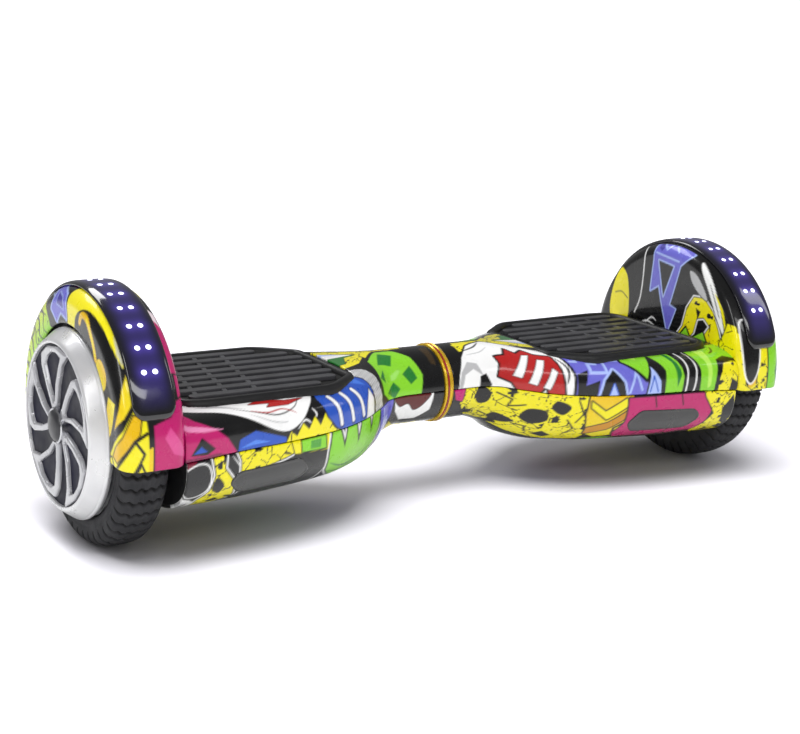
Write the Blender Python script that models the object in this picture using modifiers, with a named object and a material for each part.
"""Two-wheeled self-balancing board.

Two halves pivot on a tube along the wheel axle, with a hub-motor wheel at each
end and a rubber foot pad on each half.  +X runs to the right along the axle,
the front is -Y, +Z is up and the origin is on the ground under the middle.
Lengths are in millimetres and become metres when a mesh is made.  "Outward x"
is the distance from the middle towards a wheel; side is -1 left and +1 right.
"""
import bpy
import bmesh
import math
from mathutils import Vector, Matrix

# ---------------------------------------------------------------- dimensions
MM = 0.001
SIDES = (("left", -1), ("right", 1))
GAP = 0.3                           # running clearance between parts
BOARD_T = 1.6                       # thickness of every circuit board

# wheel and hub motor
TYRE_R = 84.0
TYRE_X0, TYRE_X1 = 241.0, 273.2
TYRE_BEAD_R = 63.0
AXLE_Z = TYRE_R
AXLE_R = 8.0
AXLE_BORE_R = AXLE_R + GAP
BEARING_R = 14.2
MOTOR_X0, MOTOR_X1 = 246.0, 267.0   # stator and magnets
MAGNET_R0, MAGNET_R1 = 49.2, 52.1
RIM_R0, RIM_R1 = MAGNET_R1 + GAP, TYRE_BEAD_R - GAP
MOTOR_COVER_R = 60.0
HUB_BACK_X = 275.8                  # inner face of the hub ring and hub cover
HUB_FACE_X = 288.4                  # outer face of the hub cover
HUB_CAP_X = 292.0                   # outermost point of the hub cap
POCKET_FLOOR_X = 283.5

# wheel arch, bumper and light strip; angles in degrees above the front horizontal
ARCH_R = 91.5
ARCH_X0, ARCH_X1 = 234.5, 279.0
ARCH_WALL = 2.5
ARCH_OUTER_WALL = 2.2               # thickness of the wall outside the wheel
ARCH_ANGLES = (-8.0, 188.0)
BUMPER_X0, BUMPER_X1 = 242.0, 272.0
BUMPER_R = 94.5
BUMPER_FOOT_R = ARCH_R + GAP
BUMPER_WEB_R = 93.2
BUMPER_FLANGE = 3.0
BUMPER_CHAMFER = 2.2
BUMPER_ANGLES = (14.0, 166.0)
LED_ANGLES = (20.0, 160.0)

# body shells
SHELL_T = 2.5
SECTION_POINTS = 13
SEAM_LIFT = 0.2                     # each shell stands off the seam by this
INNER_END = {-1: -1.0, 1: 9.0}      # outward x; the left half crosses the middle
UPPER_END = 236.0                   # outward x, inside the arch wall
LOWER_END = 234.0
LENS_FIT = 0.4                      # clearance round and in front of the lens
LENS_T = 1.9

# foot pad and chassis
PAD_Z0, PAD_Z1 = 100.0, 108.0
PAD_GAP = 0.6
PLATE_Z0, PLATE_Z1 = 76.0, 80.0

# pivot
TUBE_R0, TUBE_R1 = 10.0, 13.0
TUBE_BORE_R = TUBE_R1 + GAP         # bore of whatever the tube runs in
BUSHING_R = 16.3
COLLAR_BORE_R = {-1: TUBE_BORE_R, 1: BUSHING_R + GAP}
SEAM_RING_INSET = 0.4               # ring clearance to the end of each half

# rear of the right lower shell: (x, z) places
PORT_PLACE = (112.0, 61.0)
BUTTON_PLACE = (150.0, 59.0)
CABLE_R = 2.6

# ---------------------------------------------------------------- tables
# body cross sections: outward x, half depth, seam height, top height, bottom
# height, squareness of the upper half, squareness of the lower half
STATIONS = ((0, 28, 84, 112, 56, 2.0, 2.0),
            (30, 28, 84, 112, 56, 2.0, 2.0),
            (46, 31, 83.5, 112, 51.5, 2.1, 2.1),
            (62, 43, 82, 111, 41.5, 2.5, 2.3),
            (84, 58, 80, 109.4, 35.5, 3.2, 2.5),
            (112, 71, 79, 107.8, 33.5, 4.0, 2.7),
            (150, 80, 78.5, 106.4, 32.5, 4.4, 2.8),
            (190, 85, 78, 106, 32, 4.6, 3.0),
            (222, 87.5, 76, 106, 32, 4.6, 3.0),
            (240, 88, 75, 106, 32, 4.6, 3.0))
SHELL_XS = [row[0] for row in STATIONS[1:-1]]
LENS_XS = SHELL_XS[4:]              # from 112 outward

# outlines seen from above: (outward x, y)
PAD_OUTLINE = ((84, -36), (86, -41), (107, -58), (115, -62), (208, -64),
               (221, -61), (228, -50), (228, 50), (221, 61), (208, 64),
               (115, 62), (107, 58), (86, 41), (84, 36))
PLUNGER_OUTLINE = ((118, -5), (190, -5), (190, 5), (118, 5))
CHASSIS_OUTLINE = ((50, -14), (76, -20), (100, -46), (212, -58),
                   (212, 58), (100, 46), (76, 20), (50, 14))

# headlight window seen along Y: (outward x, z)
WINDOW = ((138, 56), (147, 66), (196, 64), (202, 57), (193, 48), (145, 48))

# profiles about the axle: (outward x, radius)
ARCH_PROFILE = (
    (ARCH_X0, 18), (ARCH_X0, 85), (236.2, 88.8), (240, 91.0), (246, ARCH_R), (268, ARCH_R),
    (274, 89.6), (277.6, 85.5), (ARCH_X1, 79), (ARCH_X1, 66.5),
    (ARCH_X1 - ARCH_OUTER_WALL, 66.5), (ARCH_X1 - ARCH_OUTER_WALL, 79),
    (275.2, 84), (272.6, 87.2), (267.5, ARCH_R - ARCH_WALL), (246, ARCH_R - ARCH_WALL),
    (240.5, 87.5), (238.0, 85), (ARCH_X0 + ARCH_WALL, 82), (ARCH_X0 + ARCH_WALL, 18))
BUMPER_PROFILE = (
    (BUMPER_X0, BUMPER_FOOT_R), (BUMPER_X0, BUMPER_WEB_R),
    (BUMPER_X0 + BUMPER_CHAMFER, BUMPER_R), (BUMPER_X1 - BUMPER_CHAMFER, BUMPER_R),
    (BUMPER_X1, BUMPER_WEB_R), (BUMPER_X1, BUMPER_FOOT_R),
    (BUMPER_X1 - BUMPER_FLANGE, BUMPER_FOOT_R), (BUMPER_X1 - BUMPER_FLANGE, BUMPER_WEB_R),
    (BUMPER_X0 + BUMPER_FLANGE, BUMPER_WEB_R), (BUMPER_X0 + BUMPER_FLANGE, BUMPER_FOOT_R))
AXLE_PROFILE = ((198, 0), (198, 7.2), (199, AXLE_R), (273, AXLE_R), (274, 7.2), (274, 0))
STATOR_PROFILE = ((MOTOR_X0, AXLE_BORE_R), (MOTOR_X0, 20), (247, 48.2),
                  (266, 48.2), (MOTOR_X1, 20), (MOTOR_X1, AXLE_BORE_R))
RIM_PROFILE = ((241.1, RIM_R0), (241.1, 59), (243, RIM_R1),
               (271, RIM_R1), (272.9, 59), (272.9, RIM_R0))
TYRE_PROFILE = (
    (244, TYRE_BEAD_R), (241.6, 65), (TYRE_X0, 70), (241.6, 76), (244, 80.6), (249, 83.4),
    (254, TYRE_R), (260.5, TYRE_R), (265.5, 83.4), (270.4, 80.6), (272.6, 76),
    (TYRE_X1, 70), (272.6, 65), (270.2, TYRE_BEAD_R))
HUB_RING_PROFILE = ((HUB_BACK_X, 57.3), (HUB_BACK_X, 62), (277.4, 64.3),
                    (279.4, 63.8), (286.6, 59.0), (288.0, 57.3))
HUB_COVER_PROFILE = ((HUB_BACK_X, 0), (HUB_BACK_X, 56.9), (287.2, 56.9),
                     (288.1, 54.5), (HUB_FACE_X, 14), (HUB_FACE_X, 0))
HUB_CAP_PROFILE = ((HUB_FACE_X + GAP, 0), (HUB_FACE_X + GAP, 11.5), (290.2, 11.5),
                   (291.6, 8.4), (HUB_CAP_X, 0))
INNER_BUSHING_PROFILE = ((28, TUBE_BORE_R), (28, 19), (29.7, 19),
                         (29.7, BUSHING_R), (44, BUSHING_R), (44, TUBE_BORE_R))
# the speaker stands upright: (z, radius)
SPEAKER_PROFILE = ((41.5, 0), (41.5, 20), (44, 22), (52, 22), (52, 14), (58, 10), (58, 0))

# pockets of the hub cover: (radius, angle in degrees); the angle rises through
# the top, from the back on the left wheel and from the front on the right
POCKET_COUNT = 5
PETAL = ((15.5, 66), (28, 58.5), (43, 60), (46.5, 68), (48.8, 87),
         (47.2, 97), (41, 95), (28, 85), (15.5, 75))
WEDGE = ((15, 92), (26, 95), (41.5, 102.5), (53.5, 112.5),
         (53.5, 126), (44, 122.5), (28, 119), (15, 112))

# centre line of the cable loom: (x, y, z)
LOOM = ((-112, 0, 84.5), (-90, 3, 84), (-72, 0, 84), (0, 0, 84),
        (70, 0, 84), (90, -3, 84), (112, 0, 84.5))

# ---------------------------------------------------------------- scene
for old in list(bpy.data.objects):
    bpy.data.objects.remove(old, do_unlink=True)

PARTS = bpy.data.collections.new("self_balancing_board")
CUTTERS = bpy.data.collections.new("cutters")
for group in (PARTS, CUTTERS):
    bpy.context.scene.collection.children.link(group)


# ---------------------------------------------------------------- materials
def make_material(name, colour, roughness, metallic=0.0, emission=0.0):
    mat = bpy.data.materials.new(name)
    mat.use_nodes = True
    inputs = mat.node_tree.nodes["Principled BSDF"].inputs
    inputs["Base Color"].default_value = (*colour, 1)
    inputs["Roughness"].default_value = roughness
    inputs["Metallic"].default_value = metallic
    if emission:
        inputs["Emission Color"].default_value = (*colour, 1)
        inputs["Emission Strength"].default_value = emission
    mat.diffuse_color = (*colour, 1)
    return mat


UPPER_SHELL = make_material("printed_shell", colour=(0.80, 0.62, 0.05), roughness=0.18)
LOWER_SHELL = make_material("printed_shell_lower", colour=(0.30, 0.55, 0.08), roughness=0.18)
BLACK = make_material("gloss_black", colour=(0.012, 0.012, 0.018), roughness=0.1)
LED = make_material("led_strip", colour=(0.45, 0.55, 1.0), roughness=0.4, emission=2.0)
RUBBER = make_material("pad_rubber", colour=(0.035, 0.035, 0.038), roughness=0.75)
TYRE = make_material("tyre_rubber", colour=(0.02, 0.02, 0.02), roughness=0.85)
CHROME = make_material("chrome", colour=(0.8, 0.8, 0.82), roughness=0.12, metallic=1.0)
NAVY = make_material("hub_plastic", colour=(0.02, 0.02, 0.035), roughness=0.3)
ALLOY = make_material("cast_alloy", colour=(0.55, 0.56, 0.58), roughness=0.45, metallic=1.0)
STEEL = make_material("steel", colour=(0.5, 0.5, 0.5), roughness=0.35, metallic=1.0)
COPPER = make_material("windings", colour=(0.6, 0.25, 0.1), roughness=0.4, metallic=1.0)
BRASS = make_material("seam_ring", colour=(0.85, 0.6, 0.1), roughness=0.25, metallic=0.6)
SMOKE = make_material("smoked_lens", colour=(0.05, 0.05, 0.055), roughness=0.25)
BOARD = make_material("circuit_board", colour=(0.02, 0.2, 0.08), roughness=0.5)
BLUE = make_material("battery_wrap", colour=(0.03, 0.12, 0.5), roughness=0.4)
GREY = make_material("grey_plastic", colour=(0.16, 0.16, 0.17), roughness=0.5)


# ---------------------------------------------------------------- mesh helpers
# A piece made with no material is a cutter, used only by booleans.
def finish(ob, mat):
    """File the object as a part or a cutter and set its look."""
    for group in list(ob.users_collection):
        group.objects.unlink(ob)
    if mat:
        PARTS.objects.link(ob)
        ob.data.materials.append(mat)
        ob.data.shade_smooth()
        ob.data.set_sharp_from_angle(angle=math.radians(35))
    else:
        CUTTERS.objects.link(ob)
        ob.hide_render = True
        ob.display_type = "WIRE"
    return ob


def from_bmesh(name, bm, mat):
    bmesh.ops.recalc_face_normals(bm, faces=bm.faces)
    mesh = bpy.data.meshes.new(name)
    bm.to_mesh(mesh)
    bm.free()
    return finish(bpy.data.objects.new(name, mesh), mat)


def loft(name, loops, mat=None, strip=False):
    """Skin through equal loops of points.  Each end is capped with one face,
    or with a strip of quads when the loop doubles back on itself."""
    bm = bmesh.new()
    rows = [[bm.verts.new(Vector(point) * MM) for point in loop] for loop in loops]
    count = len(rows[0])
    for row, after in zip(rows, rows[1:]):
        for i in range(count):
            j = (i + 1) % count
            bm.faces.new((row[i], row[j], after[j], after[i]))
    for row in (rows[0], rows[-1]):
        if strip:
            for i in range(count // 2 - 1):
                bm.faces.new((row[i], row[i + 1], row[count - 2 - i], row[count - 1 - i]))
        else:
            bm.faces.new(row)
    return from_bmesh(name, bm, mat)


def prism(name, outline, start, end, mat=None, axis=2):
    """Outline extruded from start to end along axis 0, 1 or 2 (X, Y or Z)."""
    bm = bmesh.new()
    verts = []
    for point in outline:
        corner = list(point)
        corner.insert(axis, start)
        verts.append(bm.verts.new(Vector(corner) * MM))
    step = Vector((0, 0, 0))
    step[axis] = end - start
    face = bm.faces.new(verts)
    result = bmesh.ops.extrude_face_region(bm, geom=[face], use_keep_orig=True)
    moved = [item for item in result["geom"] if isinstance(item, bmesh.types.BMVert)]
    bmesh.ops.translate(bm, vec=step * MM, verts=moved)
    return from_bmesh(name, bm, mat)


def spun(name, profile, mat, steps):
    """(height, radius) points turned about Z.  A profile that starts and ends
    at radius 0 makes a solid bar, any other a ring."""
    points = [(radius, height) for height, radius in profile]
    area = sum(a[0] * b[1] - b[0] * a[1] for a, b in zip(points, points[1:] + points[:1]))
    if area > 0:                    # one winding, so that all faces turn the same way
        points.reverse()
    last = len(points) - 1
    edges = [(i, i + 1) for i in range(last)]
    if points[0][0] > 0:
        edges.append((last, 0))
    mesh = bpy.data.meshes.new(name)
    mesh.from_pydata([(radius * MM, 0, height * MM) for radius, height in points], edges, [])
    ob = finish(bpy.data.objects.new(name, mesh), mat)
    screw = ob.modifiers.new("turn", "SCREW")
    screw.angle = math.tau
    screw.axis = "Z"
    screw.steps = screw.render_steps = steps
    screw.use_merge_vertices = True
    screw.merge_threshold = 0.00001
    screw.use_smooth_shade = True
    return ob


def turned(name, profile, mat, steps, side=1):
    """(outward x, radius) points turned about the wheel axle."""
    ob = spun(name, profile, mat, steps)
    ob.location = (0, 0, AXLE_Z * MM)
    ob.rotation_euler = (0, math.radians(90) * side, 0)
    return ob


def rectangle(x0, x1, r0, r1):
    """Profile of a plain ring."""
    return ((x0, r0), (x0, r1), (x1, r1), (x1, r0))


def box(name, x, y, z, mat=None, bevel=0.0):
    """Box between the (start, end) pairs x, y and z; its origin is its centre."""
    bpy.ops.mesh.primitive_cube_add(size=1)
    ob = bpy.context.object
    ob.name = ob.data.name = name
    size = Vector([abs(end - start) for start, end in (x, y, z)]) * MM
    ob.data.transform(Matrix.Diagonal((*size, 1)))
    ob.location = Vector([(start + end) / 2 for start, end in (x, y, z)]) * MM
    finish(ob, mat)
    if bevel:
        edge = ob.modifiers.new("edge", "BEVEL")
        edge.width = bevel * MM
        edge.segments = 1
    return ob


def cylinder(name, start, end, radius, mat=None, segments=24):
    start, end = Vector(start) * MM, Vector(end) * MM
    axis = end - start
    bpy.ops.mesh.primitive_cylinder_add(vertices=segments, radius=radius * MM, depth=axis.length)
    ob = bpy.context.object
    ob.name = ob.data.name = name
    ob.location = (start + end) / 2
    ob.rotation_mode = "QUATERNION"
    ob.rotation_quaternion = axis.to_track_quat("Z", "Y")
    return finish(ob, mat)


def boolean(ob, tool, operation):
    modifier = ob.modifiers.new(operation.lower(), "BOOLEAN")
    modifier.operation = operation
    modifier.object = tool
    modifier.solver = "EXACT"


def mirrored(outline, side):
    return [(side * x, other) for x, other in outline]


def grow(outline, distance):
    """Outline with each corner moved out so that its sides shift by distance."""
    count = len(outline)
    centre_x = sum(point[0] for point in outline) / count
    centre_y = sum(point[1] for point in outline) / count
    grown = []
    for i, (x, y) in enumerate(outline):
        before, after = outline[i - 1], outline[(i + 1) % count]
        mitre = (Vector((y - before[1], before[0] - x)).normalized()
                 + Vector((after[1] - y, x - after[0])).normalized())
        mitre = mitre / max(0.2, mitre.length_squared) * 2 * distance
        moved = (x + mitre.x - centre_x) ** 2 + (y + mitre.y - centre_y) ** 2
        if moved < (x - centre_x) ** 2 + (y - centre_y) ** 2:
            mitre = -mitre
        grown.append((x + mitre.x, y + mitre.y))
    return grown


# ---------------------------------------------------------------- body surface
def station(x):
    """STATIONS columns after the first, interpolated at x."""
    x = abs(x)
    near, far = next(pair for pair in zip(STATIONS, STATIONS[1:]) if x <= pair[1][0])
    share = (x - near[0]) / (far[0] - near[0])
    return [a + (b - a) * share for a, b in zip(near[1:], far[1:])]


def section(x, upper, inset, lift):
    """Half of the cross section at x: rear to front over the top when upper,
    front to rear under the bottom when not."""
    depth, seam, top, bottom, upper_square, lower_square = station(x)
    height = top - seam if upper else seam - bottom
    power = 2.0 / (upper_square if upper else lower_square)
    points = []
    for i in range(SECTION_POINTS):
        angle = math.radians((0 if upper else 180) + 180 * i / (SECTION_POINTS - 1))
        # rounding noise is cleared, as the power would magnify it
        across, rise = (0.0 if abs(value) < 1e-9 else value
                        for value in (math.cos(angle), math.sin(angle)))
        y = (depth - inset) * math.copysign(abs(across) ** power, across)
        z = seam + (height - inset) * math.copysign(abs(rise) ** power, rise) + lift
        points.append((x, y, z))
    return points


def lower_face_y(x, z):
    """Half depth of the lower shell's outer face at height z."""
    depth, seam, _, bottom, _, square = station(x)
    return depth * (1 - ((seam - z) / (seam - bottom)) ** square) ** (1 / square)


def shell(name, side, xs, upper, mat, inset=0.0, thickness=SHELL_T):
    lift = SEAM_LIFT if upper else -SEAM_LIFT
    loops = []
    for x in xs:
        outer = section(side * x, upper, inset, lift)
        inner = section(side * x, upper, inset + thickness, lift)
        loops.append(outer + inner[::-1])
    return loft(name, loops, mat, strip=True)


def arc_sweep(name, side, profile, angles, steps, mat=None):
    """Closed (outward x, radius) profile swept about the axle."""
    first, last = angles
    loops = []
    for i in range(steps + 1):
        angle = math.radians(first + (last - first) * i / steps)
        loops.append([(side * x, -r * math.cos(angle), AXLE_Z + r * math.sin(angle))
                      for x, r in profile])
    return loft(name, loops, mat)


# ---------------------------------------------------------------- pieces of one half
def upper_shell(tag, side):
    """Body cover and wheel arch in one moulding, open for the foot pad."""
    xs = [INNER_END[side]] + SHELL_XS + [UPPER_END]
    cover = shell("upper_shell_" + tag, side, xs, True, UPPER_SHELL)
    arch = arc_sweep("cut_arch_" + tag, side, ARCH_PROFILE, ARCH_ANGLES, 18)
    boolean(cover, arch, "UNION")
    hole = prism("cut_pad_" + tag, mirrored(grow(PAD_OUTLINE, PAD_GAP), side), 90, 125)
    boolean(cover, hole, "DIFFERENCE")


def window_prism(name, side, outline):
    """Cutter through the front of the lower shell."""
    return prism(name, mirrored(outline, side), -100, -40, axis=1)


def lower_shell(tag, side):
    """Lower shell with its end wall and the headlight window."""
    xs = [INNER_END[side]] + SHELL_XS + [LOWER_END]
    cover = shell("lower_shell_" + tag, side, xs, False, LOWER_SHELL)
    wall = section(LOWER_END, False, inset=1.2, lift=-0.6)
    ends = [[(side * x, y, z) for _, y, z in wall] for x in (231.6, 233.6)]
    boolean(cover, loft("cut_endwall_" + tag, ends), "UNION")
    window = window_prism("cut_window_" + tag, side, grow(WINDOW, LENS_FIT))
    boolean(cover, window, "DIFFERENCE")
    return cover


def headlight(tag, side):
    lens = shell("headlight_lens_" + tag, side, LENS_XS, False, SMOKE,
                 inset=LENS_FIT, thickness=LENS_T)
    boolean(lens, window_prism("cut_lens_" + tag, side, WINDOW), "INTERSECT")
    board_y = -lower_face_y(170, 57) + 19
    box("headlight_board_" + tag, (side * 145, side * 195), (board_y, board_y + BOARD_T),
        (52, 62), BOARD)


def bumper(tag, side):
    """Bumper channel over the arch and the light strip under it."""
    arc_sweep("fender_bumper_" + tag, side, BUMPER_PROFILE, BUMPER_ANGLES, 18, BLACK)
    arc_sweep("led_strip_" + tag, side, rectangle(250, 264, 91.85, 92.85), LED_ANGLES, 16, LED)


def foot_pad(tag, side):
    """Foot pad and the plunger under it."""
    prism("foot_pad_" + tag, mirrored(PAD_OUTLINE, side), PAD_Z0, PAD_Z1, RUBBER)
    prism("pad_plunger_" + tag, mirrored(PLUNGER_OUTLINE, side), 91, PAD_Z0 - GAP, GREY)


def axle_cutter(name, side, x0, x1, radius, segments):
    return cylinder(name, (side * x0, 0, AXLE_Z), (side * x1, 0, AXLE_Z), radius,
                    segments=segments)


def chassis(tag, side):
    """Plate with pivot collar and axle saddle, the axle clamp and gyro board."""
    frame = prism("chassis_" + tag, mirrored(CHASSIS_OUTLINE, side), PLATE_Z0, PLATE_Z1, ALLOY)
    collar = axle_cutter("cut_collar_" + tag, side, 30, 62, 21, 20)
    saddle = box("cut_saddle_" + tag, (side * 200, side * 231), (-23, 23), (64, AXLE_Z - 0.2))
    bore = axle_cutter("cut_bore_" + tag, side, 20, 82, COLLAR_BORE_R[side], 20)
    seat = axle_cutter("cut_seat_" + tag, side, 176, 236, AXLE_BORE_R, 16)
    boolean(frame, collar, "UNION")
    boolean(frame, saddle, "UNION")
    boolean(frame, bore, "DIFFERENCE")
    boolean(frame, seat, "DIFFERENCE")
    clamp = box("axle_clamp_" + tag, (side * 203, side * 229), (-21, 21), (AXLE_Z + 0.1, 97),
                ALLOY)
    boolean(clamp, seat, "DIFFERENCE")
    box("gyro_board_" + tag, (side * 122, side * 172), (-28, 28), (81.5, 81.5 + BOARD_T), BOARD)


def hub_motor(tag, side):
    # fixed parts
    turned("axle_" + tag, AXLE_PROFILE, STEEL, 16, side)
    turned("motor_stator_" + tag, STATOR_PROFILE, COPPER, 24, side)
    # turning parts
    magnets = rectangle(MOTOR_X0, MOTOR_X1, MAGNET_R0, MAGNET_R1)
    turned("magnet_ring_" + tag, magnets, STEEL, 24, side)
    turned("wheel_rim_" + tag, RIM_PROFILE, ALLOY, 24, side)
    for place, x0, x1 in (("inner_", 238.4, 240.8), ("outer_", 273.2, 275.4)):
        cover = rectangle(x0, x1, BEARING_R + GAP, MOTOR_COVER_R)
        turned("motor_cover_" + place + tag, cover, ALLOY, 24, side)
    for place, x0, x1 in (("inner_", 239, 245.5), ("outer_", 267.6, 273.6)):
        bearing = rectangle(x0, x1, AXLE_BORE_R, BEARING_R)
        turned("bearing_" + place + tag, bearing, STEEL, 16, side)


def hub_cover(tag, side):
    """Cover with alternating petal and wedge pockets sunk into its face."""
    cover = turned("hub_cover_" + tag, HUB_COVER_PROFILE, NAVY, 30, side)
    x0, x1 = sorted((side * POCKET_FLOOR_X, side * 300))
    for k in range(POCKET_COUNT):
        for prefix, pocket in (("cut_petal_", PETAL), ("cut_wedge_", WEDGE)):
            points = []
            for radius, degrees in pocket:
                angle = math.radians(degrees + 360 / POCKET_COUNT * k)
                points.append((-side * radius * math.cos(angle),
                               AXLE_Z + radius * math.sin(angle)))
            if side > 0:            # the mirrored outline keeps the same winding
                points.reverse()
            cutter = prism("%s%s_%d" % (prefix, tag, k), points, x0, x1, axis=0)
            boolean(cover, cutter, "DIFFERENCE")


def wheel(tag, side):
    hub_motor(tag, side)
    turned("tyre_" + tag, TYRE_PROFILE, TYRE, 32, side)
    turned("hub_ring_" + tag, HUB_RING_PROFILE, CHROME, 32, side)
    hub_cover(tag, side)
    turned("hub_cap_" + tag, HUB_CAP_PROFILE, GREY, 24, side)


# ---------------------------------------------------------------- middle and fittings
def pivot():
    turned("pivot_tube", rectangle(-72, 70, TUBE_R0, TUBE_R1), STEEL, 20)
    turned("pivot_bushing_inner", INNER_BUSHING_PROFILE, BRASS, 20)
    turned("pivot_bushing_outer", rectangle(48, 62, TUBE_BORE_R, BUSHING_R), BRASS, 20)
    turned("retaining_ring", rectangle(62.4, 64.4, TUBE_BORE_R, 15.8), STEEL, 20)


def seam_ring():
    """Ring with chamfered edges between the inner ends of the two halves."""
    x0 = -INNER_END[-1] + SEAM_RING_INSET
    x1 = INNER_END[1] - SEAM_RING_INSET
    profile = ((x0, 25.6), (x0, 28.4), (x0 + 1.2, 30.2), (x1 - 1.2, 30.2), (x1, 28.4), (x1, 25.6))
    turned("seam_ring", profile, BRASS, 32)


def electronics():
    box("battery_pack", (121, 197), (-35, 35), (45, 74), BLUE, bevel=2.0)
    box("main_board", (-205, -110), (-34, 34), (62, 62 + BOARD_T), BOARD)
    speaker = spun("speaker", SPEAKER_PROFILE, GREY, 20)
    speaker.location = (-155 * MM, 0, 0)


def rear_cylinder(name, place, inner, outer, radius, mat=None, segments=24):
    """Cylinder along Y at an (x, z) place; inner and outer are measured
    backwards from the rear face of the lower shell."""
    x, z = place
    face = lower_face_y(x, z)
    return cylinder(name, (x, face + inner, z), (x, face + outer, z), radius, mat, segments)


def charge_port(cover):
    """Charging socket and its cap."""
    boolean(cover, rear_cylinder("cut_port", PORT_PLACE, -12, 14, 9.6), "DIFFERENCE")
    port = rear_cylinder("charge_port", PORT_PLACE, -14, 0.5, 7.0, GREY)
    boolean(port, rear_cylinder("cut_flange", PORT_PLACE, -2.0, 1.0, 9.2), "UNION")
    socket = rear_cylinder("cut_socket", PORT_PLACE, -10, 5, 4.6, segments=20)
    boolean(port, socket, "DIFFERENCE")
    rear_cylinder("charge_port_cap", PORT_PLACE, 1.4, 3.0, 8.6, RUBBER)


def power_button(cover):
    boolean(cover, rear_cylinder("cut_button", BUTTON_PLACE, -14, 12, 6.9), "DIFFERENCE")
    rear_cylinder("power_button", BUTTON_PLACE, -8, 3.2, 6.4, CHROME)


def cable_loom():
    """Cable through the pivot tube."""
    curve = bpy.data.curves.new("cable_loom", "CURVE")
    curve.dimensions = "3D"
    curve.bevel_depth = CABLE_R * MM
    curve.bevel_resolution = 1
    curve.use_fill_caps = True
    spline = curve.splines.new("POLY")
    spline.points.add(len(LOOM) - 1)
    for point, place in zip(spline.points, LOOM):
        point.co = (*(Vector(place) * MM), 1)
    curve.materials.append(BLACK)
    PARTS.objects.link(bpy.data.objects.new("cable_loom", curve))


# ---------------------------------------------------------------- build
lower_shells = {}
for tag, side in SIDES:
    upper_shell(tag, side)
    lower_shells[tag] = lower_shell(tag, side)
    for build in (headlight, bumper, foot_pad, chassis, wheel):
        build(tag, side)
pivot()
seam_ring()
electronics()
charge_port(lower_shells["right"])
power_button(lower_shells["right"])
cable_loom()
